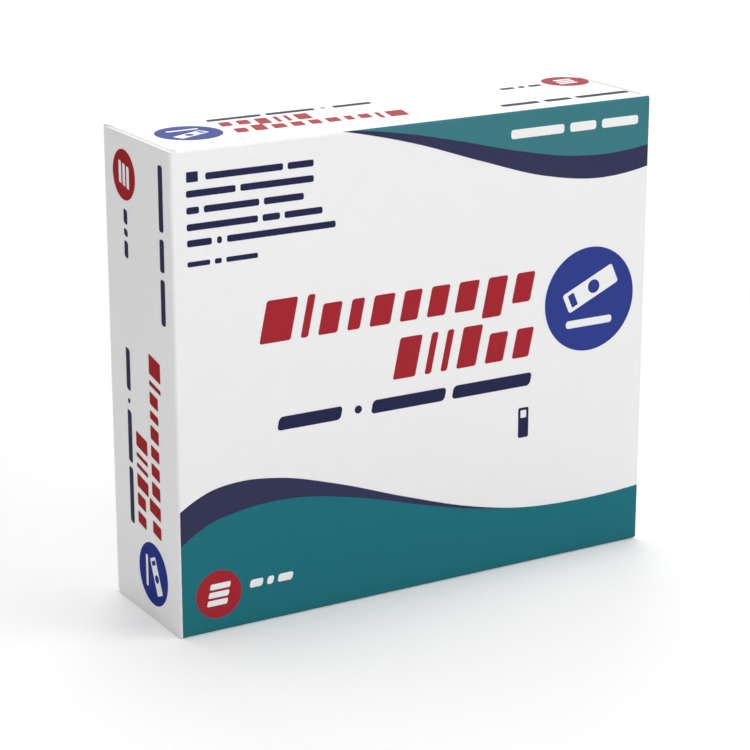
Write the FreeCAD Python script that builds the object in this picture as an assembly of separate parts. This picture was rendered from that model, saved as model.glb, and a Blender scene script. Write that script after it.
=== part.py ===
"""Reverse-tuck folding carton that holds a stack of glass microscope slides.

The carton is one sheet of board: a four-panel sleeve with its long axis along X, glued at the
rear top edge, and a tuck flap at each end. The left flap is creased to the front panel and
tucks in behind the back panel; the right flap is the same shape turned half way round, so it
is creased to the back panel and tucks in behind the front one.

Frame, in millimetres: origin at the middle of the carton's base, +X to the right along the
sleeve, the front panel facing -Y, +Z up. Each end is built once, as the left end, and turned
half way round about Z for the right one.
"""

import math
import os

import FreeCAD
import Part

V = FreeCAD.Vector
UP = V(0, 0, 1)
ORIGIN = V(0, 0, 0)
OVERCUT = 1.0  # how far a cutting shape runs past what it cuts
NEAR = 1e-6  # two places this close are the same

# --- Glass slides: the contents set the carton's length and depth ---------------------------
SLIDE_LENGTH = 76.2  # along X
SLIDE_WIDTH = 25.4  # along Y
SLIDE_THICKNESS = 1.15
SLIDE_AIR = 0.02  # film of air between two slides
GROUND_CORNER = 1.2  # each corner is ground off at 45 degrees by this much

# --- Carton ---------------------------------------------------------------------------------
HEIGHT = 88.0  # outside, along Z; the pile has as many slides as this holds
BOARD = 0.6
FOLD_INSIDE = 0.1  # inside radius of the sleeve's folds
RAW_CORNER = 0.45  # 45 degree clip at the foot of the panel ends that stay uncreased
RAW_SETBACK = 0.3  # those panel ends stop this far inside the closure panel's face

# --- Room left round the stack --------------------------------------------------------------
SIDE_ROOM = 0.2  # between the stack and the front or back panel
SEAT_ROOM = 0.05  # between the lowest slide and the bottom panel
HEAD_ROOM = 1.9  # at least this between the top slide and the glue flap
END_ROOM = 10.95  # between the stack and the inner face of an end flap

# --- Glue flap, under the top panel ----------------------------------------------------------
GLUE_WIDTH = 11.0
GLUE_END_SETBACK = 3.0  # from the top panel's end to the glue flap's root
GLUE_TAPER = 4.0  # how much shorter the free edge is at each end

# --- Dust flaps, folded down from the top panel and up from the bottom panel ----------------
DUST_LENGTH = 22.0
DUST_GAP = 0.15  # between a dust flap and the end flap outside it
DUST_FRONT_ROOM = 0.3  # between a dust flap and the crease bead
DUST_TUCK_ROOM = 0.4  # between a dust flap and the tuck tab
DUST_BEVEL = 5.0  # the rear edge slopes in by this much over the dust flap's length
DUST_CORNER = 2.5  # radius of the dust flap's two free corners

# --- End flap: crease bead, closure panel and tuck tab ---------------------------------------
CREASE_ROOM = 0.1  # between the crease bead and the panel edge round it
FLAP_EDGE_ROOM = 0.1  # the closure panel stops this far short of the base and of the top
CREASE_CORNER = 0.1  # relief at the creased corners of the closure panel
TUCK_CORNER_LONG = 0.6  # relief at the tuck corners, along the panel
TUCK_CORNER_SHORT = 0.25  # relief at the tuck corners, across the panel
TUCK_ROOM = 0.15  # between the tuck tab and the panel that it slides behind
TUCK_SHOULDER = 0.9  # between the tab's long sides and the sleeve, glue flap included
TUCK_TIP_ROOM = 0.9  # between the tab's tip and the stack
TUCK_TIP_RADIUS = 5.0
SLIT_LENGTH = 5.0  # lock slit at each end of the tuck fold
SLIT_WIDTH = 0.3

# --- Worked out from the above ---------------------------------------------------------------
INSIDE_DEPTH = SLIDE_WIDTH + 2 * SIDE_ROOM
WIDTH = SLIDE_LENGTH + 2 * (END_ROOM + BOARD)  # outside, along X
DEPTH = INSIDE_DEPTH + 2 * BOARD  # outside, along Y

SLIDE_PITCH = SLIDE_THICKNESS + SLIDE_AIR
STACK_BASE = BOARD + SEAT_ROOM
STACK_LIMIT = HEIGHT - 2 * BOARD - HEAD_ROOM
SLIDE_COUNT = int((STACK_LIMIT - STACK_BASE + SLIDE_AIR) / SLIDE_PITCH)

LEFT = -WIDTH / 2
FRONT = -DEPTH / 2
BACK = DEPTH / 2

RAW_END = LEFT + RAW_SETBACK  # where the back panel ends on the left
HINGE_X = LEFT + BOARD  # the left flap's axis runs up the inner corner of its crease
HINGE_Y = FRONT + BOARD
DUST_X = HINGE_X + DUST_GAP  # outer face of the left dust flaps
FOLD_RADIUS = FOLD_INSIDE + BOARD  # outside radius of the sleeve's folds
SEAM = HEIGHT - BOARD  # where the top panel lies on the glue flap

TUCK_OUTER = INSIDE_DEPTH - TUCK_ROOM  # the tab is curved about the hinge axis,
TUCK_INNER = TUCK_OUTER - BOARD  # so it slides out along its own arc
TUCK_REACH = END_ROOM - TUCK_TIP_ROOM
TUCK_ANGLE = math.asin(TUCK_REACH / TUCK_OUTER)
TUCK_LOW = 2 * BOARD + TUCK_SHOULDER
TUCK_HIGH = HEIGHT - 2 * BOARD - TUCK_SHOULDER


def box(x0, x1, y0, y1, z0, z1):
    """A block between two values on each axis."""
    return Part.makeBox(x1 - x0, y1 - y0, z1 - z0, V(x0, y0, z0))


def prism(points, along):
    """A straight-sided outline, extruded."""
    return Part.Face(Part.makePolygon([*points, points[0]])).extrude(along)


def polar(radius, angle):
    """A point at that radius, with the angle measured from +Y towards +X."""
    return V(radius * math.sin(angle), radius * math.cos(angle), 0)


def rounded_corners(solid, radius, is_there, across):
    """Fillets the edges whose ends both satisfy is_there and share their place on one axis."""

    def wanted(edge):
        ends = edge.Vertexes
        return all(is_there(v) for v in ends) and (
            abs(getattr(ends[0].Point, across) - getattr(ends[1].Point, across)) < NEAR
        )

    return solid.makeFillet(radius, [e for e in solid.Edges if wanted(e)])


def turned_half(shape):
    """The same end on the right: a half turn about the carton's upright axis."""
    copy = shape.copy()
    copy.rotate(ORIGIN, UP, 180)
    return copy


# --- Folded board ------------------------------------------------------------------------------


def fold_arc(before, corner, after, radius):
    """The arc that rounds a square corner of a path, with the points where it starts and ends."""
    back = (before - corner).normalize()
    onward = (after - corner).normalize()
    start = corner + back * radius
    end = corner + onward * radius
    centre = start + onward * radius
    middle = centre + (corner - centre).normalize() * radius
    return Part.Arc(start, middle, end).toShape(), start, end


def rounded_path(points, radius):
    """Straight runs through the points, joined by fold arcs, as a list of edges."""
    edges, at = [], points[0]
    for before, corner, after in zip(points, points[1:], points[2:]):
        arc, start, end = fold_arc(before, corner, after, radius)
        edges += [Part.LineSegment(at, start).toShape(), arc]
        at = end
    return [*edges, Part.LineSegment(at, points[-1]).toShape()]


def folded_sheet(outside, inside, along):
    """Board folded round square corners and extruded.

    outside and inside are the corner points of the sheet's two faces, in the same order.
    """
    outer = rounded_path(outside, FOLD_RADIUS)
    inner = rounded_path(inside, FOLD_RADIUS - BOARD)
    ends = [
        Part.LineSegment(outside[0], inside[0]).toShape(),
        Part.LineSegment(outside[-1], inside[-1]).toShape(),
    ]
    section = Part.Wire(Part.__sortEdges__(outer + inner + ends))
    return Part.Face(section).extrude(along)


# --- Sleeve --------------------------------------------------------------------------------------


def sleeve_tube():
    """Top, front, bottom and back panels, with the back's fold turned in under the top panel."""
    middle = HEIGHT / 2
    lip = BACK - 2 * FOLD_RADIUS
    along = V(-2 * RAW_END, 0, 0)

    def section(*pairs):
        return [V(RAW_END, y, z) for y, z in pairs]

    wrap = folded_sheet(
        section((BACK, HEIGHT), (FRONT, HEIGHT), (FRONT, 0), (BACK, 0), (BACK, middle)),
        section(
            (BACK, SEAM),
            (FRONT + BOARD, SEAM),
            (FRONT + BOARD, BOARD),
            (BACK - BOARD, BOARD),
            (BACK - BOARD, middle),
        ),
        along,
    )
    turn_in = folded_sheet(
        section((BACK, middle), (BACK, SEAM), (lip, SEAM)),
        section((BACK - BOARD, middle), (BACK - BOARD, SEAM - BOARD), (lip, SEAM - BOARD)),
        along,
    )
    return wrap.fuse(turn_in)


def glue_flap():
    """The tapered flap glued under the top panel, from the turned-in fold forwards."""
    root = BACK - FOLD_RADIUS
    free = BACK - GLUE_WIDTH
    half = -DUST_X - GLUE_END_SETBACK
    z = SEAM - BOARD
    outline = [
        V(-half, root, z),
        V(half, root, z),
        V(half - GLUE_TAPER, free, z),
        V(-half + GLUE_TAPER, free, z),
    ]
    return prism(outline, UP * BOARD)


def end_waste():
    """What the die cuts from the left end of the tube, leaving the back panel its full length."""
    outside = RAW_END - OVERCUT
    ends = box(outside, DUST_X, FRONT - OVERCUT, BACK - BOARD, -OVERCUT, HEIGHT + OVERCUT)
    crease = Part.makeCylinder(
        BOARD + CREASE_ROOM, HEIGHT + 2 * OVERCUT, V(HINGE_X, HINGE_Y, -OVERCUT)
    )
    clip = prism(
        [
            V(RAW_END, BACK, -OVERCUT),
            V(RAW_END, BACK, RAW_CORNER),
            V(RAW_END + RAW_CORNER, BACK, 0),
            V(RAW_END + RAW_CORNER, BACK, -OVERCUT),
        ],
        V(0, -BOARD, 0),
    )
    return ends.fuse([crease, clip])


def seam_waste():
    """At the left end, the top panel's overhang and the back panel's turned-in fold."""
    outside = RAW_END - OVERCUT
    overhang = box(outside, DUST_X, BACK - BOARD, BACK + OVERCUT, SEAM, HEIGHT + OVERCUT)
    turn_in = box(
        outside,
        DUST_X + GLUE_END_SETBACK,
        BACK - 3 * FOLD_RADIUS,
        BACK - BOARD,
        SEAM - BOARD - FOLD_RADIUS,
        SEAM,
    )
    return overhang.fuse(turn_in)


def seam_end():
    """The back panel's left end past the top panel, square and as tall as the closure panel."""
    return box(RAW_END, DUST_X, BACK - BOARD, BACK, SEAM - FOLD_RADIUS, HEIGHT - FLAP_EDGE_ROOM)


def dust_outline(front, rear):
    """The dust flap's face, seen along X, as a prism that trims the folded strip."""
    start = DUST_X - OVERCUT
    top = HEIGHT + OVERCUT
    low = HEIGHT - DUST_LENGTH
    outline = prism(
        [
            V(start, front, top),
            V(start, rear, top),
            V(start, rear, SEAM),
            V(start, rear - DUST_BEVEL, low),
            V(start, front, low),
        ],
        V(3 * FOLD_RADIUS + 2 * OVERCUT, 0, 0),
    )
    return rounded_corners(outline, DUST_CORNER, lambda v: abs(v.Point.z - low) < NEAR, "y")


def dust_flap():
    """The upper left dust flap with its fold, and the part of the top panel that it replaces."""
    front = HINGE_Y + BOARD + DUST_FRONT_ROOM
    inner_x = DUST_X + BOARD - HINGE_X
    rear = HINGE_Y + math.sqrt((TUCK_INNER - DUST_TUCK_ROOM) ** 2 - inner_x**2)
    root = DUST_X + 2 * FOLD_RADIUS
    low = HEIGHT - DUST_LENGTH - OVERCUT
    strip = folded_sheet(
        [V(root, front, HEIGHT), V(DUST_X, front, HEIGHT), V(DUST_X, front, low)],
        [
            V(root, front, SEAM),
            V(DUST_X + BOARD, front, SEAM),
            V(DUST_X + BOARD, front, low),
        ],
        V(0, rear - front, 0),
    )
    flap = strip.common(dust_outline(front, rear))
    replaced = box(DUST_X - OVERCUT, root, front, rear, SEAM, HEIGHT + OVERCUT)
    return flap, replaced


def upside_down(shape):
    """A copy mirrored from the top panel to the bottom one."""
    return shape.mirror(V(0, 0, HEIGHT / 2), UP)


def carton_sleeve():
    """The folded and glued sheet, without its two end flaps."""
    body = sleeve_tube().fuse(glue_flap())
    flap, replaced = dust_flap()
    waste = end_waste().fuse([replaced, upside_down(replaced)])
    left_flaps = [flap, upside_down(flap)]
    seam_right = seam_waste().mirror(ORIGIN, V(1, 0, 0))
    body = body.cut([waste, turned_half(waste), seam_waste(), seam_right])
    body = body.fuse([seam_end(), *left_flaps, *[turned_half(f) for f in left_flaps]])
    return body.removeSplitter()


# --- End flap ------------------------------------------------------------------------------------


def closure_section():
    """Section across the hinge axis: crease bead, flat panel and rounded tuck fold."""
    bead_top = V(0, BOARD, 0)
    bead_out = V(-BOARD, 0, 0)
    bead_far = polar(BOARD, math.radians(135))
    fold_start = V(-BOARD, TUCK_INNER, 0)
    fold_end = V(0, TUCK_OUTER, 0)
    fold_centre = V(0, TUCK_INNER, 0)
    fold_middle = fold_centre + polar(BOARD, math.radians(-45))
    edges = [
        Part.LineSegment(bead_out, fold_start).toShape(),
        Part.Arc(fold_start, fold_middle, fold_end).toShape(),
        Part.LineSegment(fold_end, bead_top).toShape(),
        Part.Arc(bead_top, bead_far, bead_out).toShape(),
    ]
    return Part.Face(Part.Wire(edges))


def closure_panel(low, high):
    """The flat end of the flap with its bead, all four corners relieved."""
    panel = closure_section().extrude(UP * (high - low))
    panel.translate(V(0, 0, low))
    near, far = -BOARD, TUCK_OUTER
    outline = prism(
        [
            V(-2 * BOARD, near, low + CREASE_CORNER),
            V(-2 * BOARD, near + BOARD + CREASE_CORNER, low),
            V(-2 * BOARD, far - TUCK_CORNER_LONG, low),
            V(-2 * BOARD, far, low + TUCK_CORNER_SHORT),
            V(-2 * BOARD, far, high - TUCK_CORNER_SHORT),
            V(-2 * BOARD, far - TUCK_CORNER_LONG, high),
            V(-2 * BOARD, near + BOARD + CREASE_CORNER, high),
            V(-2 * BOARD, near, high - CREASE_CORNER),
        ],
        V(4 * BOARD, 0, 0),
    )
    return panel.common(outline)


def tuck_tab():
    """The tab beyond the tuck fold, curved about the hinge axis, with round free corners."""
    half = TUCK_ANGLE / 2
    root_outer, tip_outer = polar(TUCK_OUTER, 0), polar(TUCK_OUTER, TUCK_ANGLE)
    root_inner, tip_inner = polar(TUCK_INNER, 0), polar(TUCK_INNER, TUCK_ANGLE)
    edges = [
        Part.Arc(root_outer, polar(TUCK_OUTER, half), tip_outer).toShape(),
        Part.LineSegment(tip_outer, tip_inner).toShape(),
        Part.Arc(tip_inner, polar(TUCK_INNER, half), root_inner).toShape(),
        Part.LineSegment(root_inner, root_outer).toShape(),
    ]
    tab = Part.Face(Part.Wire(edges)).extrude(UP * (TUCK_HIGH - TUCK_LOW))
    tab.translate(V(0, 0, TUCK_LOW))
    outline = box(-OVERCUT, TUCK_REACH, 0, TUCK_OUTER + OVERCUT, TUCK_LOW, TUCK_HIGH)
    at_tip = rounded_corners(
        outline, TUCK_TIP_RADIUS, lambda v: abs(v.Point.x - TUCK_REACH) < NEAR, "z"
    )
    return tab.common(at_tip)


def lock_slits():
    """A slit in from each end of the tuck fold, between the closure panel and the tab."""
    near = TUCK_INNER - BOARD
    far = TUCK_OUTER + BOARD
    low = box(0, SLIT_WIDTH, near, far, TUCK_LOW - OVERCUT, TUCK_LOW + SLIT_LENGTH)
    high = box(0, SLIT_WIDTH, near, far, TUCK_HIGH - SLIT_LENGTH, TUCK_HIGH + OVERCUT)
    return [low, high]


def left_end_flap():
    """Closure panel and tuck tab, hinged on the front panel's left crease."""
    panel = closure_panel(FLAP_EDGE_ROOM, HEIGHT - FLAP_EDGE_ROOM)
    flap = panel.fuse(tuck_tab().cut(lock_slits())).removeSplitter()
    flap.translate(V(HINGE_X, HINGE_Y, 0))
    return flap


# --- Slides --------------------------------------------------------------------------------------


def slide(z):
    """One glass slide lying flat, with its four corners ground off."""
    x, y, g = SLIDE_LENGTH / 2, SLIDE_WIDTH / 2, GROUND_CORNER
    quarter = [(x, y - g), (x - g, y)]
    outline = quarter + [(-cx, cy) for cx, cy in reversed(quarter)]
    outline += [(-cx, -cy) for cx, cy in outline]
    return prism([V(cx, cy, z) for cx, cy in outline], UP * SLIDE_THICKNESS)


def glass_slides():
    """The stack, one solid a slide, resting on the bottom panel."""
    places = [STACK_BASE + n * SLIDE_PITCH for n in range(SLIDE_COUNT)]
    return Part.makeCompound([slide(z) for z in places])


def main():
    os.makedirs("parts", exist_ok=True)
    flap = left_end_flap()
    nodes = {
        "carton_sleeve": carton_sleeve(),
        "left_end_flap": flap,
        "right_end_flap": turned_half(flap),
        "glass_slides": glass_slides(),
    }
    for name, shape in nodes.items():
        shape.exportStep(f"parts/{name}.step")
        size = shape.BoundBox
        print(f"{name}: {len(shape.Solids)} solids, valid {shape.isValid()}, "
              f"{size.XLength:.2f} x {size.YLength:.2f} x {size.ZLength:.2f} mm")


main()
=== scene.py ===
"""Looks of a reverse-tuck folding carton of glass microscope slides.

The packed CAD parts are the frame. Over it come the folded board with its coated, plain and cut
faces, skins over the two creases at the end flaps, thin films of printing ink, and the pile of
glass slides inside. Sizes in the layout below are in millimetres, and meshes are in metres.
"""

import math

import bmesh
import bpy
from bpy.props import FloatProperty, FloatVectorProperty, IntProperty, PointerProperty
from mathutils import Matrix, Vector
from mathutils.bvhtree import BVHTree


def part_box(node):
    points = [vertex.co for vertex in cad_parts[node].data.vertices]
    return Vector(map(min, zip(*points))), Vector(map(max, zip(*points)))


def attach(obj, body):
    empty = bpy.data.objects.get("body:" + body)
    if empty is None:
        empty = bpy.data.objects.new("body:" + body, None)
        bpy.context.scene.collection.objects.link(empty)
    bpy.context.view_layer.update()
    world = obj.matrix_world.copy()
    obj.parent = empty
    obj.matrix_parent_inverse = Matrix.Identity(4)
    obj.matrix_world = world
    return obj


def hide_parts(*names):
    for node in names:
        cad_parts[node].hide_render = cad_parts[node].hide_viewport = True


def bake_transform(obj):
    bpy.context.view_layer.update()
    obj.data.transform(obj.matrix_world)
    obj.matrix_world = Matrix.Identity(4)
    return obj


bl_info = {
    "name": "Slide Carton",
    "version": (1, 0, 0),
    "blender": (4, 5, 0),
    "location": "3D View > Sidebar > Slide Carton",
    "description": "Dresses a tuck-end carton of glass microscope slides",
    "category": "Object",
}

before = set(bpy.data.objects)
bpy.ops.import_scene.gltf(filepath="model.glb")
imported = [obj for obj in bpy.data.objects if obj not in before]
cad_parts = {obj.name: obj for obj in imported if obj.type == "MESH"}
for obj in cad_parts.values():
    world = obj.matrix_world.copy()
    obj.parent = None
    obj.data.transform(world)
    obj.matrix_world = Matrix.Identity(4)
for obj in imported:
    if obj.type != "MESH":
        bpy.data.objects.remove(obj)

MM = 0.001
CARTON, LEFT_FLAP, RIGHT_FLAP = "carton", "left_flap", "right_flap"


def in_mm(node):
    """Lowest and highest corner of a CAD node."""
    return [[value / MM for value in corner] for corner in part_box(node)]


(_, FRONT, BASE), (RIGHT, BACK, TOP) = in_mm("carton_sleeve")
(LEFT, _, FLAP_BASE), (_, _, FLAP_TOP) = in_mm("left_end_flap")
SLIDES_LOW, SLIDES_HIGH = in_mm("glass_slides")
WIDE, TALL = RIGHT - LEFT, TOP - BASE
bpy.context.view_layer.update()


def linear(hex_code):
    """An sRGB hex colour as linear light."""
    parts = [int(hex_code[i : i + 2], 16) / 255 for i in (1, 3, 5)]
    return tuple(p / 12.92 if p <= 0.04045 else ((p + 0.055) / 1.055) ** 2.4 for p in parts)


def length(name, description, millimetres):
    """A length that is given in millimetres and kept in metres."""
    return FloatProperty(
        name=name, description=description, default=millimetres * MM, min=0, precision=6,
        unit="LENGTH", subtype="DISTANCE",
    )


def colour(name, description, hex_code):
    """A colour that is given as an sRGB hex code and kept as linear light."""
    return FloatVectorProperty(
        name=name, description=description, default=linear(hex_code), size=3, min=0, max=1,
        subtype="COLOR",
    )


# --- Settings --------------------------------------------------------------------------------


class SlideCartonBoard(bpy.types.PropertyGroup):
    """Folded board."""

    thickness: length("Thickness", "Thickness of the board", 0.6)
    fold_radius: length("Fold radius", "Outside radius of the long folds", 0.7)
    crease_lap: length("Crease lap", "How far the crease's skin runs on to the panel", 0.42)
    crease_corner: length("Crease corner", "Relief at the two ends of a crease", 0.1)
    coated: colour("Coated side", "Clay-coated outside", "#F5F5F5")
    plain: colour("Plain side", "Uncoated inside", "#EEEBE3")
    cut: colour("Cut edge", "Die-cut edge of the board", "#FCFCFC")


class SlideCartonPrint(bpy.types.PropertyGroup):
    """Printing inks."""

    film: length("Ink film", "Thickness of an ink film, drawn thicker than life", 0.012)
    lean: FloatProperty(
        name="Lean", description="Slope of the headline's blocks", default=math.radians(12),
        subtype="ANGLE",
    )
    teal: colour("Teal", "Lower field", "#20727D")
    # A lighter copy of the teal for the upper field: painted sheen, the wash of light over the top
    # of the front.
    pale_teal: colour("Pale teal", "Upper field", "#3E7C86")
    navy: colour("Navy", "Wave edges and small bars", "#353757")
    red: colour("Red", "Headline and small discs", "#A82833")
    blue: colour("Blue", "Large discs", "#30408F")
    deep_navy: colour("Deep navy", "Small bars", "#27294D")
    # Darker copies of the red and blue, used only on the left end: painted shade for the end,
    # which faces away from the lamps and loses the wash of sheen.
    deep_red: colour("Deep red", "Blocks and disc of the left end", "#A30C16")
    deep_blue: colour("Deep blue", "Disc of the left end", "#0F2886")


class SlideCartonGlass(bpy.types.PropertyGroup):
    """Glass slides."""

    thickness: length("Thickness", "Thickness of one slide", 1.15)
    air: length("Air", "Film of air between two slides", 0.02)
    corner: length("Ground corner", "How much is ground off each corner", 1.2)
    arris: length("Arris", "Small bevel ground along every edge", 0.1)
    slip: length("Slip", "How far a slide may lie out of line in the pile", 0.16)
    seed: IntProperty(name="Seed", description="Chooses how the slides lie", default=7)
    tint: colour("Tint", "Green that iron gives the glass", "#D3E4DC")
    ground: colour("Ground edge", "Milky green of the ground edges", "#E2EFE8")


class SlideCartonStage(bpy.types.PropertyGroup):
    """Camera, floor and lights."""

    lens: FloatProperty(
        name="Lens", description="Focal length", default=119.57, unit="CAMERA"
    )
    turn: FloatProperty(
        name="Turn", description="How far the camera looks towards the right end",
        default=math.radians(30.43), subtype="ANGLE",
    )
    tilt: FloatProperty(
        name="Tilt", description="How far the camera looks down",
        default=math.radians(17.24), subtype="ANGLE",
    )
    place: FloatVectorProperty(
        name="Place", description="Where the camera stands",
        default=(-0.22655, -0.3824, 0.1756), size=3, unit="LENGTH", subtype="TRANSLATION",
    )
    sky: FloatProperty(name="Sky", description="Strength of the even light all round", default=0.1)
    overhead: FloatProperty(
        name="Overhead lamp", description="Power of the wide lamp above", default=24.6,
        unit="POWER",
    )
    side: FloatProperty(
        name="Side lamp", description="Power of the lamp at the front right", default=3.5,
        unit="POWER",
    )
    rear: FloatProperty(
        name="Rear lamp", description="Power of the low lamp behind", default=8.3,
        unit="POWER",
    )
    near: FloatProperty(
        name="Near lamp", description="Power of the small lamp over the front", default=0.21,
        unit="POWER",
    )
    corner: FloatProperty(
        name="Corner lamp", description="Power of the small lamp over the near corner",
        default=0.25, unit="POWER",
    )
    floor: colour("Floor", "Pale paper under the carton", "#FBFBFB")


GROUPS = {
    "slide_carton_board": SlideCartonBoard,
    "slide_carton_print": SlideCartonPrint,
    "slide_carton_glass": SlideCartonGlass,
    "slide_carton_stage": SlideCartonStage,
}


# --- Materials -------------------------------------------------------------------------------


def add(tree, kind, inputs=None, **settings):
    """A node with its settings; an input is given a value, or the output that feeds it."""
    node = tree.nodes.new(kind)
    for name, value in settings.items():
        setattr(node, name, value)
    for key, value in (inputs or {}).items():
        if isinstance(value, bpy.types.NodeSocket):
            tree.links.new(value, node.inputs[key])
        else:
            node.inputs[key].default_value = value
    return node


def blank(name):
    """A material with nothing in it but its output, and its object coordinates."""
    material = bpy.data.materials.new(name)
    material.use_nodes = True
    tree = material.node_tree
    tree.nodes.clear()
    return material, tree, add(tree, "ShaderNodeTexCoord").outputs["Object"]


def finish_with(tree, shader):
    """Sends the shader to the material's surface."""
    add(tree, "ShaderNodeOutputMaterial", {"Surface": shader.outputs[0]})


def grain(tree, where, millimetres, detail=2.0, stretch=(1, 1, 1)):
    """Noise whose blots are about so many millimetres across."""
    scaled = add(tree, "ShaderNodeMapping", {"Vector": where, "Scale": stretch})
    return add(
        tree, "ShaderNodeTexNoise",
        {"Vector": scaled.outputs[0], "Scale": 1 / (millimetres * MM), "Detail": detail},
    ).outputs["Fac"]


def between(tree, factor, low, high):
    """A colour that runs from one to the other with the factor."""
    mix = add(tree, "ShaderNodeMix", {"Factor": factor}, data_type="RGBA")
    mix.inputs[6].default_value = (*low, 1)
    mix.inputs[7].default_value = (*high, 1)
    return mix.outputs[2]


def spread(tree, factor, low, high):
    """The factor's middle range, spread from low to high."""
    return add(
        tree, "ShaderNodeMapRange",
        {"Value": factor, "From Min": 0.3, "From Max": 0.7, "To Min": low, "To Max": high},
    ).outputs[0]


def bumped(tree, height, depth_mm, strength):
    """Normals that a height pattern of the given depth raises."""
    return add(
        tree, "ShaderNodeBump",
        {"Height": height, "Distance": depth_mm * MM, "Strength": strength},
    ).outputs[0]


def times(rgb, factor):
    """The colour made darker or lighter, up to white."""
    return tuple(min(1, part * factor) for part in rgb)


def coated_board(name, rgb):
    """Clay-coated solid bleached board, calendered: clean white, faintly cloudy where the fibres
    lie thicker, with a soft satin sheen and a very fine tooth."""
    material, tree, where = blank(name)
    cloud = grain(tree, where, 5.0)
    tooth = grain(tree, where, 0.5, 4.0)
    shader = add(tree, "ShaderNodeBsdfPrincipled", {
        "Base Color": between(tree, cloud, times(rgb, 0.985), times(rgb, 1.01)),
        "Roughness": spread(tree, cloud, 0.42, 0.5),
        "IOR": 1.5,
        "Specular IOR Level": 0.3,
        "Normal": bumped(tree, tooth, 0.01, 0.12),
    })
    finish_with(tree, shader)
    return material


def plain_board(name, rgb):
    """The uncoated inside of the board: matt, warmer, with fibres that lie along the machine
    direction and show as short darker flecks."""
    material, tree, where = blank(name)
    fibres = grain(tree, where, 0.35, 5.0, (0.3, 1, 1))
    cloud = grain(tree, where, 4.0)
    shader = add(tree, "ShaderNodeBsdfPrincipled", {
        "Base Color": between(tree, fibres, times(rgb, 0.9), times(rgb, 1.06)),
        "Roughness": spread(tree, cloud, 0.8, 0.92),
        "Specular IOR Level": 0.2,
        "Normal": bumped(tree, fibres, 0.02, 0.35),
    })
    finish_with(tree, shader)
    return material


def cut_board(name, rgb):
    """Die-cut edge: torn fibre ends between two skins, rough, without any sheen."""
    material, tree, where = blank(name)
    ends = grain(tree, where, 0.12, 3.0, (1, 1, 0.4))
    shader = add(tree, "ShaderNodeBsdfPrincipled", {
        "Base Color": between(tree, ends, times(rgb, 0.92), times(rgb, 1.06)),
        "Roughness": 0.95,
        "Specular IOR Level": 0.1,
        "Sheen Weight": 0.5,
        "Sheen Roughness": 0.6,
        "Normal": bumped(tree, ends, 0.02, 0.4),
    })
    finish_with(tree, shader)
    return material


def litho_ink(name, rgb):
    """Lithographic ink under a thin sealing varnish: an even film with the slight mottle that
    the board's tooth gives it, and a low satin gloss that whitens only at a low angle."""
    material, tree, where = blank(name)
    mottle = grain(tree, where, 0.6, 3.0)
    tooth = grain(tree, where, 0.5, 4.0)
    shader = add(tree, "ShaderNodeBsdfPrincipled", {
        "Base Color": between(tree, mottle, times(rgb, 0.93), times(rgb, 1.07)),
        "Roughness": spread(tree, mottle, 0.57, 0.63),
        "IOR": 1.17,
        "Specular IOR Level": 0.5,
        "Normal": bumped(tree, tooth, 0.01, 0.1),
    })
    finish_with(tree, shader)
    return material


def clear_glass(name, rgb):
    """Drawn soda-lime sheet glass: clear, fire-polished, with the green that iron gives it."""
    material, tree, where = blank(name)
    wave = grain(tree, where, 9.0, 1.0)
    shader = add(tree, "ShaderNodeBsdfPrincipled", {
        "Base Color": (*rgb, 1),
        "Roughness": 0.02,
        "IOR": 1.52,
        "Transmission Weight": 1.0,
        "Normal": bumped(tree, wave, 0.01, 0.05),
    })
    finish_with(tree, shader)
    return material


def ground_glass(name, rgb):
    """Edges ground with fine grit: frosted, milky green, sparkling a little along the arris."""
    material, tree, where = blank(name)
    grit = grain(tree, where, 0.09, 3.0)
    shader = add(tree, "ShaderNodeBsdfPrincipled", {
        "Base Color": between(tree, grit, times(rgb, 0.85), times(rgb, 1.05)),
        "Roughness": spread(tree, grit, 0.45, 0.65),
        "IOR": 1.52,
        "Transmission Weight": 0.15,
        "Normal": bumped(tree, grit, 0.02, 0.5),
    })
    finish_with(tree, shader)
    return material


def paper_sweep(name, rgb):
    """Matt pale studio paper."""
    material, tree, where = blank(name)
    shader = add(tree, "ShaderNodeBsdfPrincipled", {
        "Base Color": between(tree, grain(tree, where, 60.0), times(rgb, 0.995), rgb),
        "Roughness": 0.9,
        "Specular IOR Level": 0.1,
    })
    finish_with(tree, shader)
    return material


# --- Meshes ----------------------------------------------------------------------------------


SHARP = math.radians(35)  # an edge that turns by more than this stays sharp
SAME_PLACE = 1e-7  # metres between two corners that are one
PROBE = 1e-6  # metres below a face where the search for its far side starts

CREASE_STEPS = 16
CREASE_OUTER, CREASE_INNER = 0.01, 0.003  # from the board to the two sides of the crease's skin
CREASE_FLAP_LAP = 0.4  # how far the skin runs on to the end flap


def new_object(name, mesh, *materials):
    """An object at the origin, with its mesh and materials, in the scene."""
    mesh.name = name
    obj = bpy.data.objects.new(name, mesh)
    bpy.context.scene.collection.objects.link(obj)
    for material in materials:
        mesh.materials.append(material)
    return obj


def plain_mesh(obj):
    """The mesh of an object with its modifiers, as a new mesh."""
    graph = bpy.context.evaluated_depsgraph_get()
    graph.update()
    return bpy.data.meshes.new_from_object(obj.evaluated_get(graph))


def settle(obj):
    """Turns the object's modifiers into its own mesh."""
    mesh = plain_mesh(obj)
    obj.modifiers.clear()
    obj.data = mesh
    mesh.name = obj.name
    return obj


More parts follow.
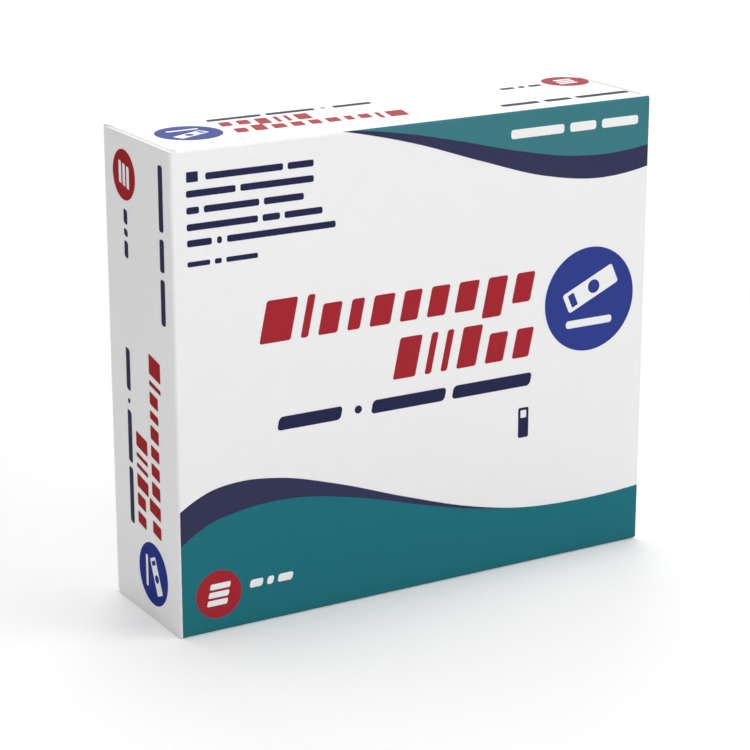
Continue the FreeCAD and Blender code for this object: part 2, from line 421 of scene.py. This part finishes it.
def board_skin(node, name, body, reference, settings):
    """A merged copy of a folded board, with its three kinds of face told apart.

    A face with at most two thicknesses of board behind it is a side of the sheet, and any other
    is a cut edge. The coated side faces away from the reference line (x, y in mm).
    """
    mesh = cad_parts[node].data.copy()
    mesh.materials.clear()
    bm = bmesh.new()
    bm.from_mesh(mesh)
    bmesh.ops.remove_doubles(bm, verts=bm.verts, dist=SAME_PLACE)
    solid = BVHTree.FromBMesh(bm)
    middle = Vector((*reference, (BASE + TOP) / 2)) * MM
    two_boards = settings.thickness * 2.1
    for face in bm.faces:
        centre = face.calc_center_median()
        hit = solid.ray_cast(centre - face.normal * PROBE, -face.normal, two_boards)
        outward = face.normal.dot(centre - middle) > SAME_PLACE
        face.material_index = 2 if hit[0] is None else 0 if outward else 1
        face.smooth = True
    bm.to_mesh(mesh)
    bm.free()
    mesh.set_sharp_from_angle(angle=SHARP)
    obj = new_object(
        name, mesh,
        bpy.data.materials["clay_coated_board"],
        bpy.data.materials["uncoated_board"],
        bpy.data.materials["die_cut_board_edge"],
    )
    weighted = obj.modifiers.new("even shading on flats", "WEIGHTED_NORMAL")
    weighted.keep_sharp = True
    weighted.weight = 100
    settle(obj)
    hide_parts(node)
    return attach(obj, body)


def crease_line(board, lap, lift):
    """Section of the left crease's skin, from the front panel round to the end flap."""
    hinge_x, hinge_y = LEFT + board, FRONT + board
    line = [(hinge_x + lap, FRONT - lift)]
    for step in range(CREASE_STEPS + 1):
        angle = math.radians(90 * step / CREASE_STEPS)
        radius = board + lift
        line.append((hinge_x - radius * math.sin(angle), hinge_y - radius * math.cos(angle)))
    line.append((LEFT - lift, hinge_y + CREASE_FLAP_LAP))
    return line


def crease_skin(name, settings, turned):
    """The coated skin over a crease, built round the fold of the closed flap."""
    board, lap = settings.thickness / MM, settings.crease_lap / MM
    outer = crease_line(board, lap, CREASE_OUTER)
    inner = crease_line(board, lap, CREASE_INNER)
    low, high = FLAP_BASE + settings.crease_corner / MM, FLAP_TOP - settings.crease_corner / MM
    side = -1 if turned else 1
    bm = bmesh.new()
    rings = []
    for (ox, oy), (ix, iy) in zip(outer, inner):
        rings.append([
            bm.verts.new(Vector((side * x, side * y, z)) * MM)
            for x, y, z in ((ox, oy, low), (ox, oy, high), (ix, iy, high), (ix, iy, low))
        ])
    for one, two in zip(rings, rings[1:]):
        for i in range(4):
            bm.faces.new((one[i], one[(i + 1) % 4], two[(i + 1) % 4], two[i]))
    bm.faces.new(rings[0])
    bm.faces.new(reversed(rings[-1]))
    bmesh.ops.recalc_face_normals(bm, faces=bm.faces)
    for face in bm.faces:
        face.smooth = True
    mesh = bpy.data.meshes.new(name)
    bm.to_mesh(mesh)
    bm.free()
    mesh.set_sharp_from_angle(angle=SHARP)
    obj = new_object(name, mesh, bpy.data.materials["clay_coated_board"])
    return bend_at_crease(obj)


def bend_at_crease(obj):
    """Bakes the object's placement into its mesh."""
    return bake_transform(obj)


# --- Print layout: outlines in millimetres on a panel ----------------------------------------


CORNERS_APART = 2.01  # a block is at least this many corner radii wide and high
CORNER_STEPS = 4
CURVE_STEP = 0.8  # about how far apart a wave's points are

# Marks on the discs, in shares of the disc's radius
MARK_SLIDE = (-0.6, 0.6, -0.2, 0.2)
MARK_LABEL = (-0.5, -0.36, -0.13, 0.13)
MARK_COVER = (0.08, 0, 0.26)
MARK_BAR = (-0.52, 0.52, -0.52, -0.37)
MARK_TURN, MARK_SHIFT = 24, (0.02, 0.2)
PILE_LEVELS = (-0.34, 0, 0.34)
PILE_HALF_WIDTH, PILE_HALF_HEIGHT, PILE_LEAN = 0.44, 0.12, 0.2

# Headline blocks: width in millimetres, then foot and head in shares of the tallest block
SHOULDER = 0.73
SHORT, HIGH, DEEP = (0.0, SHOULDER), (0.0, 1.0), (-0.25, SHOULDER)
HEADLINE_ONE = [
    (6.2, HIGH), (1.5, HIGH), (3.9, SHORT), (2.6, SHORT), (4.3, SHORT),
    (3.7, SHORT), (3.9, SHORT), (4.3, SHORT), (4.2, DEEP), (4.0, SHORT),
]
HEADLINE_TWO = [(4.7, HIGH), (1.4, HIGH), (1.4, HIGH), (4.2, HIGH), (4.0, SHORT), (3.7, SHORT)]
TALLEST, BLOCK_GAP, BLOCK_CORNER = 7.7, 2.0, 0.45

# Rows of bars: u and v of the first one, height, lengths, gap
PARAGRAPH = [
    (6.6, 82.55, 1.2, (14.9, 5.1), 0.9),
    (2.9, 79.8, 1.2, (9.4, 14.3), 0.9),
    (2.9, 76.9, 1.2, (2.4, 10.6, 7.8), 0.9),
    (2.9, 74.0, 1.2, (13.6, 3.4, 7.5), 0.9),
    (2.9, 71.2, 1.2, (4.7, 0.9, 21.3), 1.0),
    (2.9, 67.7, 0.9, (4.3, 1.3, 6.1), 0.9),
]
ORDER_BARS, ORDER_GAP = (11.6, 5.8, 8.2), 1.3
SIZE_BARS, SIZE_GAP = (2.6, 1.3, 3.0), 0.9
DOT_SIDES = 32

# The waves on the front: where they start on the left fold, how far they stop from the base and
# from the top, what is cut off their lower right corner, and where the lower navy runs out
WAVE_START, WAVE_MARGIN = 0.36, 0.03
CLIP_ALONG, CLIP_UP = 0.42, 0.45
TIP, TIP_ROOM = (70, 11.8), 0.1
CREST = [
    (WAVE_START, 23.8), (6, 26.6), (12, 27.5), (20, 26.8), (32, 23.5), (46, 18.5), (60, 14), TIP,
    (84, 10.7), (WIDE, 11.2),
]
SHORE = [
    (WAVE_START, 17.3), (5, 20.2), (12, 22), (22, 22.5), (36, 20.1), (50, 16.1), (60, 13.5), TIP,
]
BROW = [
    (33.4, TALL - WAVE_MARGIN), (48, 84.3), (62, 79.6), (76, 75.3), (88, 73.6), (WIDE, 74.7)
]
LID = [
    (35.2, TALL - WAVE_MARGIN), (46, 86.3), (58, 83.6), (70, 80.6), (82, 78.4), (90, 78),
    (WIDE, 78.8),
]


def disc(u, v, diameter, sides=96):
    """A round outline."""
    turns = [2 * math.pi * n / sides for n in range(sides)]
    return [(u + diameter / 2 * math.cos(t), v + diameter / 2 * math.sin(t)) for t in turns]


def bar(u0, u1, v0, v1, slope=0.0, corner=0.3):
    """A block with rounded corners, sheared by the slope."""
    corner = min(corner, (u1 - u0) / CORNERS_APART, (v1 - v0) / CORNERS_APART)
    centres = [(u1 - corner, v1 - corner, 0), (u0 + corner, v1 - corner, 90),
               (u0 + corner, v0 + corner, 180), (u1 - corner, v0 + corner, 270)]
    points = []
    for u, v, start in centres:
        for step in range(CORNER_STEPS + 1):
            angle = math.radians(start + 90 * step / CORNER_STEPS)
            points.append((u + corner * math.cos(angle), v + corner * math.sin(angle)))
    return [(u + (v - v0) * slope, v) for u, v in points]


def turned(points, degrees, u, v):
    """The outline turned and moved."""
    c, s = math.cos(math.radians(degrees)), math.sin(math.radians(degrees))
    return [(u + c * x - s * y, v + s * x + c * y) for x, y in points]


def words(u, v, height, lengths, gap, slope=0.0):
    """Bars in place of the words on one line."""
    bars = []
    for word in lengths:
        bars.append(bar(u, u + word, v, v + height, slope, height * 0.3))
        u += word + gap
    return bars


def slide_mark(u, v, diameter):
    """White mark on a large disc: a tilted slide with a round cover glass, over a plain bar."""
    radius = diameter / 2
    shapes = [
        bar(*MARK_SLIDE, corner=0.05), disc(*MARK_COVER, 48), bar(*MARK_LABEL, corner=0.02)
    ]
    tilted = [turned(shape, MARK_TURN, *MARK_SHIFT) for shape in shapes]
    tilted.append(bar(*MARK_BAR, corner=0.06))
    return [[(u + radius * x, v + radius * y) for x, y in shape] for shape in tilted]


def pile_mark(u, v, diameter):
    """White mark on a small disc: three slides in a pile."""
    radius = diameter / 2
    layers = [
        (-PILE_HALF_WIDTH, PILE_HALF_WIDTH, level - PILE_HALF_HEIGHT, level + PILE_HALF_HEIGHT)
        for level in PILE_LEVELS
    ]
    return [
        [(u + radius * (x + y * PILE_LEAN), v + radius * y) for x, y in bar(*layer, corner=0.06)]
        for layer in layers
    ]


def block_row(blocks, end, base, scale, slope):
    """A row of leaning blocks that ends at the given place."""
    total = sum(width for width, _ in blocks) + BLOCK_GAP * (len(blocks) - 1)
    at = end / scale - total - slope * SHOULDER * TALLEST
    shapes = []
    for width, (low, high) in blocks:
        block = bar(at, at + width, low * TALLEST, high * TALLEST, 0, BLOCK_CORNER)
        shapes.append([((x + y * slope) * scale, base + y * scale) for x, y in block])
        at += width + BLOCK_GAP
    return shapes


def smooth_line(points):
    """A smooth curve through a few points, as closely spaced points."""
    runs = [after[0] - before[0] for before, after in zip(points, points[1:])]
    falls = [(b[1] - a[1]) / run for (a, b), run in zip(zip(points, points[1:]), runs)]
    slopes = [
        (falls[i - 1] * runs[i] + falls[i] * runs[i - 1]) / (runs[i - 1] + runs[i])
        for i in range(1, len(runs))
    ]
    slopes = [2 * falls[0] - slopes[0], *slopes, 2 * falls[-1] - slopes[-1]]
    line = []
    for (x0, y0), (x1, y1), m0, m1 in zip(points, points[1:], slopes, slopes[1:]):
        run = x1 - x0
        count = max(2, round(run / CURVE_STEP))
        for n in range(count):
            t = n / count
            line.append((
                x0 + run * t,
                (2 * t**3 - 3 * t**2 + 1) * y0 + (t**3 - 2 * t**2 + t) * run * m0
                + (3 * t**2 - 2 * t**3) * y1 + (t**3 - t**2) * run * m1,
            ))
    return [*line, points[-1]]


# --- Panels: from layout to space ------------------------------------------------------------


FRONT_STEP = 0.01  # between the end of the crease's flat skin and the folds beside it
FOLD_STEPS = 7
FOLD_CUTS = (0.5, 1.5, 2.5, 3.5, 4.5, 5.5, FOLD_STEPS)  # close together on the bend
INK_OFF_BOARD = 0.012  # from the board to a film's underside
DISC_OFF_BOARD = 0.025  # the same, for a disc printed over the teal
LIGHT_OFF_BOARD = 0.038  # the same, for light shapes over that
INK_MERGE = 0.002
CUT_MERGE = 1e-5


def front_sizes():
    """Board, lap of the crease's skin, fold radius and foot of the crease, in millimetres."""
    settings = bpy.context.scene.slide_carton_board
    return (
        settings.thickness / MM, settings.crease_lap / MM, settings.fold_radius / MM,
        FLAP_BASE - BASE + settings.crease_corner / MM,
    )


def on_front():
    """Front panel: u from the left edge, v up from the base, wrapping round its folds."""
    board, lap, fold, _ = front_sizes()

    def place(u, v, height):
        x, y, z = LEFT + u, FRONT - height, BASE + v
        if u < board:
            turn = (board - u) / board
            x = LEFT + board - (board + height) * math.sin(turn)
            y = FRONT + board - (board + height) * math.cos(turn)
        if u > board + lap + FRONT_STEP / 2 and not fold <= v <= TALL - fold:
            over = fold - v if v < fold else v - (TALL - fold)
            reach = (fold + height) * math.sin(over / fold)
            z = BASE + fold - reach if v < fold else TOP - fold + reach
            y = FRONT + fold - (fold + height) * math.cos(over / fold)
        return x, y, z

    return place


def on_left_end():
    """Left end flap: u down from the top edge, v forwards from the rear edge."""
    return lambda u, v, height: (LEFT - height, BACK - v, TOP - u)


def on_top():
    """Top panel: u from the right end leftwards, v forwards from the rear edge."""
    return lambda u, v, height: (RIGHT - u, BACK - v, TOP + height)


def front_cuts():
    """Where ink on the front is cut, so that it bends with the folds: places and normals."""
    board, lap, fold, _ = front_sizes()
    steps = [fold * step / FOLD_STEPS for step in FOLD_CUTS]
    across = [step for step in steps if step < board]
    across += [board, board + lap, board + lap + FRONT_STEP]
    return [((step, 0, 0), (1, 0, 0)) for step in across] + [
        ((0, step, 0), (0, 1, 0)) for step in steps + [TALL - step for step in steps]
    ]


def ink(name, outlines, panel, body, material, low=INK_OFF_BOARD, creased=False):
    """A film of ink: the outlines filled, holes left open, and laid on a panel."""
    film = bpy.context.scene.slide_carton_print.film / MM
    curve = bpy.data.curves.new(name, "CURVE")
    curve.dimensions, curve.fill_mode, curve.extrude = "2D", "BOTH", film / 2
    for outline in outlines:
        spline = curve.splines.new("POLY")
        spline.points.add(len(outline) - 1)
        for point, (u, v) in zip(spline.points, outline):
            point.co = (u, v, 0, 1)
        spline.use_cyclic_u = True
    flat = bpy.data.objects.new(name + "_outline", curve)
    bpy.context.scene.collection.objects.link(flat)
    mesh = plain_mesh(flat)
    bpy.data.objects.remove(flat)
    mesh.materials.clear()
    bm = bmesh.new()
    bm.from_mesh(mesh)
    bmesh.ops.remove_doubles(bm, verts=bm.verts, dist=INK_MERGE)
    for point, normal in front_cuts() if panel is on_front else ():
        bmesh.ops.bisect_plane(
            bm, geom=[*bm.verts, *bm.edges, *bm.faces], dist=CUT_MERGE, plane_co=point,
            plane_no=normal,
        )
    bmesh.ops.recalc_face_normals(bm, faces=bm.faces)
    place = panel()
    for vert in bm.verts:
        u, v, height = vert.co
        vert.co = Vector(place(u, v, low + film / 2 + height)) * MM
    bm.to_mesh(mesh)
    bm.free()
    obj = new_object(name, mesh, material)
    if creased:
        return bend_at_crease(obj)
    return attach(obj, body)


def lower_waves():
    """Outlines of the teal at the foot of the front and of the navy along its crest."""
    board, lap, _, heel = front_sizes()
    crest, shore = smooth_line(CREST), smooth_line(SHORE)
    foot = [
        (WIDE, CLIP_UP), (WIDE - CLIP_ALONG, WAVE_MARGIN),
        (board + lap + FRONT_STEP, WAVE_MARGIN), (board + lap, heel), (WAVE_START, heel),
    ]
    tail = [point for point in crest if point[0] > TIP[0] + TIP_ROOM]
    head = [point for point in crest if point[0] < TIP[0] - TIP_ROOM]
    return shore + tail + foot, head + [TIP] + shore[-2::-1]


def upper_waves():
    """Outlines of the teal at the head of the front and of the navy under it."""
    brow, lid = smooth_line(BROW), smooth_line(LID)
    return lid + [(WIDE, TALL - WAVE_MARGIN)], brow + lid[::-1]


def inks(*names):
    """The ink materials of these names."""
    return [bpy.data.materials[name + "_ink"] for name in names]


# --- Operators -------------------------------------------------------------------------------


class SLIDECARTON_OT_materials(bpy.types.Operator):
    """Make the board, ink and glass finishes"""

    bl_idname = "slide_carton.materials"
    bl_label = "Materials"

    def execute(self, context):
        board = context.scene.slide_carton_board
        prints = context.scene.slide_carton_print
        glass = context.scene.slide_carton_glass
        coated_board("clay_coated_board", board.coated)
        plain_board("uncoated_board", board.plain)
        cut_board("die_cut_board_edge", board.cut)
        for name in (
            "teal", "pale_teal", "navy", "red", "blue", "deep_navy", "deep_red", "deep_blue"
        ):
            litho_ink(name + "_ink", getattr(prints, name))
        clear_glass("clear_soda_lime_glass", glass.tint)
        ground_glass("ground_glass_edge", glass.ground)
        return {"FINISHED"}


class SLIDECARTON_OT_board(bpy.types.Operator):
    """Give the folded board its coated, plain and cut faces, and skin the two creases"""

    bl_idname = "slide_carton.board"
    bl_label = "Board"

    def execute(self, context):
        settings = context.scene.slide_carton_board
        board = settings.thickness / MM
        hinge = (LEFT + board, FRONT + board)
        far_hinge = (-hinge[0], -hinge[1])
        board_skin("carton_sleeve", "sleeve_board", CARTON, (0, 0), settings)
        board_skin("left_end_flap", "left_flap_board", LEFT_FLAP, hinge, settings)
        board_skin("right_end_flap", "right_flap_board", RIGHT_FLAP, far_hinge, settings)
        crease_skin("left_crease", settings, False)
        crease_skin("right_crease", settings, True)
        return {"FINISHED"}


class SLIDECARTON_OT_front_print(bpy.types.Operator):
    """Print the front panel: two waves, two discs, headline blocks and small bars"""

    bl_idname = "slide_carton.front_print"
    bl_label = "Front print"

    def execute(self, context):
        teal, pale_teal, navy = inks("teal", "pale_teal", "navy")
        red, blue, deep_navy = inks("red", "blue", "deep_navy")
        slope = math.tan(context.scene.slide_carton_print.lean)
        lower_teal, lower_navy = lower_waves()
        upper_teal, upper_navy = upper_waves()
        ink("front_lower_teal", [lower_teal], on_front, CARTON, teal, creased=True)
        ink("front_lower_navy", [lower_navy], on_front, CARTON, navy, creased=True)
        # The upper field takes the lighter copy of the teal: painted sheen.
        ink("front_upper_teal", [upper_teal], on_front, CARTON, pale_teal)
        ink("front_upper_navy", [upper_navy], on_front, CARTON, navy)

        large, small = (86.5, 50.5, 20.1), (7.6, 7.1, 9.05)
        ink("front_blue_disc", [disc(*large), *slide_mark(*large)], on_front, CARTON,
            blue)
        ink("front_red_disc", [disc(*small)], on_front, CARTON, red,
            low=DISC_OFF_BOARD)
        ink("front_headline",
            block_row(HEADLINE_ONE, 74.2, 52.0, 1.0, slope)
            + block_row(HEADLINE_TWO, 74.1, 41.3, 1.0, slope),
            on_front, CARTON, red)
        bars = [disc(36.3, 36.9, 1.5, DOT_SIDES)]
        bars += words(19.7, 35.6, 2.5, [12.9], 0, slope)
        bars += words(38.9, 35.6, 2.5, [15.6, 17.2], 1.6, slope)
        bars += [bar(70.9, 73.2, 25.5, 31.4, corner=0.35)]
        bars += [bar(71.4, 72.7, 29.4, 30.9, corner=0.2)]
        bars += [bar(3.0, 5.2, 82.4, 84.2, corner=0.15)]
        for row in PARAGRAPH:
            bars += words(*row)
        ink("front_small_bars", bars, on_front, CARTON, deep_navy)
        paper = bpy.data.materials["clay_coated_board"]
        light = words(13.7, 7.0, 1.5, SIZE_BARS, SIZE_GAP, slope)
        light += words(68.3, 82.9, 1.7, ORDER_BARS, ORDER_GAP)
        light += pile_mark(*small)
        ink("front_light_bars", light, on_front, CARTON, paper,
            low=LIGHT_OFF_BOARD)
        return {"FINISHED"}


class SLIDECARTON_OT_left_print(bpy.types.Operator):
    """Print the left end flap, reading downwards"""

    bl_idname = "slide_carton.left_print"
    bl_label = "Left end print"

    def execute(self, context):
        # The left end takes the darker copies of the red and blue: painted shade.
        navy, red, blue = inks("deep_navy", "deep_red", "deep_blue")
        slope = math.tan(context.scene.slide_carton_print.lean)
        large, small = (79.3, 16.2, 11.8), (7.4, 8.6, 9.05)
        ink("left_blue_disc", [disc(*large), *slide_mark(*large)], on_left_end, LEFT_FLAP,
            blue)
        reds = [disc(*small), *pile_mark(*small)]
        reds += block_row(HEADLINE_ONE, 71.8, 16.6, 0.59, slope)
        reds += block_row(HEADLINE_TWO, 71.7, 10.5, 0.59, slope)
        ink("left_red_print", reds, on_left_end, LEFT_FLAP, red)
        navies = words(13.4, 8.0, 1.5, SIZE_BARS, SIZE_GAP, slope)
        navies += words(3.0, 22.3, 1.7, ORDER_BARS, ORDER_GAP)
        navies += words(38.8, 7.2, 1.6, [7.8], 0, slope) + [disc(48.8, 8.0, 0.95, DOT_SIDES)]
        navies += words(50.4, 7.2, 1.6, [9.8, 10.6], 1.0, slope)
        ink("left_small_bars", navies, on_left_end, LEFT_FLAP, navy)
        return {"FINISHED"}


class SLIDECARTON_OT_top_print(bpy.types.Operator):
    """Print the top panel, reading from behind"""

    bl_idname = "slide_carton.top_print"
    bl_label = "Top print"

    def execute(self, context):
        navy, red, blue = inks("deep_navy", "red", "blue")
        slope = math.tan(context.scene.slide_carton_print.lean)
        large, small = (89.3, 14.7, 12), (5.6, 7.5, 9.2)
        ink("top_blue_disc", [disc(*large), *slide_mark(*large)], on_top, CARTON,
            blue)
        reds = [disc(*small), *pile_mark(*small)]
        reds += block_row(HEADLINE_ONE, 81.8, 15.3, 0.605, slope)
        reds += block_row(HEADLINE_TWO, 81.8, 9.4, 0.605, slope)
        ink("top_red_print", reds, on_top, CARTON, red)
        navies = words(11.5, 7.4, 1.5, [2.8, 1.4, 3.2], SIZE_GAP, slope)
        navies += words(1.3, 20.9, 1.8, ORDER_BARS, ORDER_GAP)
        navies += words(48.2, 6.1, 1.7, [8.0], 0, slope) + [disc(58.4, 6.9, 1.0, DOT_SIDES)]
        navies += words(60.0, 6.1, 1.7, [10.0, 10.8], 1.0, slope)
        ink("top_small_bars", navies, on_top, CARTON, navy)
        return {"FINISHED"}


FACE_UPRIGHT = 0.9  # a face whose normal rises less than this is on a slide's rim
ARRIS_ANGLE = math.radians(60)
WELD = 1e-6
SLIP_ALONG, SLIP_ACROSS = 2, 0.8  # a slide slips this many times the slip setting at most


def pile_tree(materials):
    """Geometry nodes that make one slide with its corners ground off and pile it up."""
    tree = bpy.data.node_groups.new("slide_pile", "GeometryNodeTree")
    tree.interface.new_socket("Geometry", in_out="OUTPUT", socket_type="NodeSocketGeometry")
    for name, kind in (
        ("Length", "Float"), ("Width", "Float"), ("Thickness", "Float"), ("Corner", "Float"),
        ("Pitch", "Float"), ("Count", "Int"), ("Base", "Vector"), ("Slip", "Vector"),
        ("Seed", "Int"),
    ):
        tree.interface.new_socket(name, in_out="INPUT", socket_type=f"NodeSocket{kind}")
    given = add(tree, "NodeGroupInput").outputs
    outline = add(tree, "GeometryNodeCurvePrimitiveQuadrilateral",
                  {"Width": given["Length"], "Height": given["Width"]})
    ground = add(tree, "GeometryNodeFilletCurve",
                 {"Curve": outline.outputs[0], "Radius": given["Corner"]}, mode="POLY")
    face = add(tree, "GeometryNodeFillCurve", {"Curve": ground.outputs[0]}).outputs[0]
    lift = add(tree, "ShaderNodeCombineXYZ", {"Z": given["Thickness"]})
    raised = add(tree, "GeometryNodeExtrudeMesh",
                 {"Mesh": face, "Offset": lift.outputs[0], "Offset Scale": 1.0,
                  "Individual": False}, mode="FACES")
    under = add(tree, "GeometryNodeFlipFaces", {"Mesh": face})
    whole = add(tree, "GeometryNodeJoinGeometry")
    tree.links.new(raised.outputs["Mesh"], whole.inputs[0])
    tree.links.new(under.outputs[0], whole.inputs[0])
    slide = add(tree, "GeometryNodeMergeByDistance",
                {"Geometry": whole.outputs[0], "Distance": WELD})
    step = add(tree, "ShaderNodeCombineXYZ", {"Z": given["Pitch"]})
    places = add(tree, "GeometryNodeMeshLine",
                 {"Count": given["Count"], "Start Location": given["Base"],
                  "Offset": step.outputs[0]}, mode="OFFSET")
    back = add(tree, "ShaderNodeVectorMath", {0: given["Slip"], 1: (-1, -1, -1)},
               operation="MULTIPLY")
    slip = add(tree, "FunctionNodeRandomValue",
               {0: back.outputs[0], 1: given["Slip"], "Seed": given["Seed"]},
               data_type="FLOAT_VECTOR")
    nudged = add(tree, "GeometryNodeSetPosition",
                 {"Geometry": places.outputs[0], "Offset": slip.outputs[0]})
    pile = add(tree, "GeometryNodeInstanceOnPoints",
               {"Points": nudged.outputs[0], "Instance": slide.outputs[0]})
    real = add(tree, "GeometryNodeRealizeInstances", {"Geometry": pile.outputs[0]})
    normal = add(tree, "GeometryNodeInputNormal")
    parts = add(tree, "ShaderNodeSeparateXYZ", {0: normal.outputs[0]})
    upright = add(tree, "ShaderNodeMath", {0: parts.outputs["Z"]}, operation="ABSOLUTE")
    rim = add(tree, "ShaderNodeMath", {0: upright.outputs[0], 1: FACE_UPRIGHT},
              operation="LESS_THAN")
    clear = add(tree, "GeometryNodeSetMaterial",
                {"Geometry": real.outputs[0], "Material": materials[0]})
    edged = add(tree, "GeometryNodeSetMaterial",
                {"Geometry": clear.outputs[0], "Selection": rim.outputs[0],
                 "Material": materials[1]})
    add(tree, "NodeGroupOutput", {0: edged.outputs[0]})
    return tree


class SLIDECARTON_OT_slides(bpy.types.Operator):
    """Pile up the glass slides"""

    bl_idname = "slide_carton.slides"
    bl_label = "Glass slides"

    def execute(self, context):
        glass = context.scene.slide_carton_glass
        clear = bpy.data.materials["clear_soda_lime_glass"]
        ground = bpy.data.materials["ground_glass_edge"]
        pitch = glass.thickness + glass.air
        low, high = Vector(SLIDES_LOW) * MM, Vector(SLIDES_HIGH) * MM
        values = {
            "Length": high.x - low.x, "Width": high.y - low.y, "Thickness": glass.thickness,
            "Corner": glass.corner, "Pitch": pitch,
            "Count": round((high.z - low.z + glass.air) / pitch),
            "Base": (0, 0, low.z),
            "Slip": (glass.slip * SLIP_ALONG, glass.slip * SLIP_ACROSS, 0),
            "Seed": glass.seed,
        }
        pile = new_object("glass_pile", bpy.data.meshes.new("glass_pile"))
        modifier = pile.modifiers.new("pile", "NODES")
        modifier.node_group = pile_tree((clear, ground))
        for item in modifier.node_group.interface.items_tree:
            if item.item_type == "SOCKET" and item.in_out == "INPUT":
                modifier[item.identifier] = values[item.name]
        settle(pile)
        if not pile.data.polygons:
            raise RuntimeError("the pile of slides came out empty")
        bevel = pile.modifiers.new("arris", "BEVEL")
        bevel.width, bevel.segments, bevel.limit_method = glass.arris, 1, "ANGLE"
        bevel.angle_limit = ARRIS_ANGLE
        bevel.material = 1
        settle(pile)
        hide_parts("glass_slides")
        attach(pile, CARTON)
        return {"FINISHED"}


CARTON_MIDDLE = (0, 0, 0.044)
LAMPS = (  # name of the lamp and of its setting, side, place and aim, in metres
    ("overhead", 2.4, (0.2, 0.4, 1.4), (0.2, 0.4, 0)),
    ("side", 0.6, (0.8, -0.7, 0.5), CARTON_MIDDLE),
    ("rear", 1.0, (0.55, 1.3, 0.45), (0.1, 0.2, 0)),
    ("near", 0.25, (-0.02, -0.24, 0.3), CARTON_MIDDLE),
    ("corner", 0.25, (-0.25, -0.25, 0.3), CARTON_MIDDLE),
)
FLOOR_REACH = 4.0
SENSOR_WIDTH = 36  # millimetres
NEAREST = 0.01  # the camera sees nothing closer, in metres


def lamp(name, power, size, place, aim):
    """A soft square lamp that isn't seen itself."""
    data = bpy.data.lights.new(name, "AREA")
    data.shape, data.size, data.energy = "SQUARE", size, power
    obj = bpy.data.objects.new(name, data)
    bpy.context.scene.collection.objects.link(obj)
    obj.location = place
    obj.rotation_euler = (Vector(aim) - Vector(place)).to_track_quat("-Z", "Y").to_euler()
    obj.visible_camera = False


class SLIDECARTON_OT_stage(bpy.types.Operator):
    """Set up the camera, pale floor and soft lights"""

    bl_idname = "slide_carton.stage"
    bl_label = "Stage"

    def execute(self, context):
        scene = context.scene
        stage = scene.slide_carton_stage
        camera = bpy.data.objects.new("camera", bpy.data.cameras.new("camera"))
        scene.collection.objects.link(camera)
        camera.data.lens, camera.data.sensor_width = stage.lens, SENSOR_WIDTH
        camera.data.clip_start = NEAREST
        camera.location = stage.place
        camera.rotation_euler = (math.radians(90) - stage.tilt, 0, -stage.turn)
        scene.camera = camera

        mesh = bpy.data.meshes.new("floor")
        signs = ((-1, -1), (1, -1), (1, 1), (-1, 1))
        mesh.from_pydata(
            [(x * FLOOR_REACH, y * FLOOR_REACH, 0) for x, y in signs], [], [(0, 1, 2, 3)]
        )
        floor = new_object("floor", mesh, paper_sweep("studio_paper", stage.floor))

        world = bpy.data.worlds.new("studio")
        world.use_nodes = True
        world.node_tree.nodes.clear()
        light = add(world.node_tree, "ShaderNodeBackground",
                    {"Color": (1, 1, 1, 1), "Strength": stage.sky})
        add(world.node_tree, "ShaderNodeOutputWorld", {"Surface": light.outputs[0]})
        scene.world = world
        scene.view_settings.view_transform = "Standard"
        for name, size, place, aim in LAMPS:
            lamp(name, getattr(stage, name), size, place, aim)
        return {"FINISHED"}


class SLIDECARTON_PT_panel(bpy.types.Panel):
    """Lists the pieces and their settings"""

    bl_label = "Slide Carton"
    bl_space_type = "VIEW_3D"
    bl_region_type = "UI"
    bl_category = "Slide Carton"

    def draw(self, context):
        for operator in OPERATORS:
            self.layout.operator(operator.bl_idname)
        for name, group in GROUPS.items():
            box = self.layout.box()
            box.label(text=group.__doc__)
            for key in group.__annotations__:
                box.prop(getattr(context.scene, name), key)


OPERATORS = (
    SLIDECARTON_OT_materials,
    SLIDECARTON_OT_board,
    SLIDECARTON_OT_front_print,
    SLIDECARTON_OT_left_print,
    SLIDECARTON_OT_top_print,
    SLIDECARTON_OT_slides,
    SLIDECARTON_OT_stage,
)
CLASSES = (*GROUPS.values(), *OPERATORS, SLIDECARTON_PT_panel)


def register():
    for cls in CLASSES:
        bpy.utils.register_class(cls)
    for name, group in GROUPS.items():
        setattr(bpy.types.Scene, name, PointerProperty(type=group))


def unregister():
    for name in GROUPS:
        delattr(bpy.types.Scene, name)
    for cls in reversed(CLASSES):
        bpy.utils.unregister_class(cls)


def main():
    register()
    for operator in OPERATORS:
        group, name = operator.bl_idname.split(".")
        getattr(getattr(bpy.ops, group), name)()


if __name__ == "__main__":
    main()
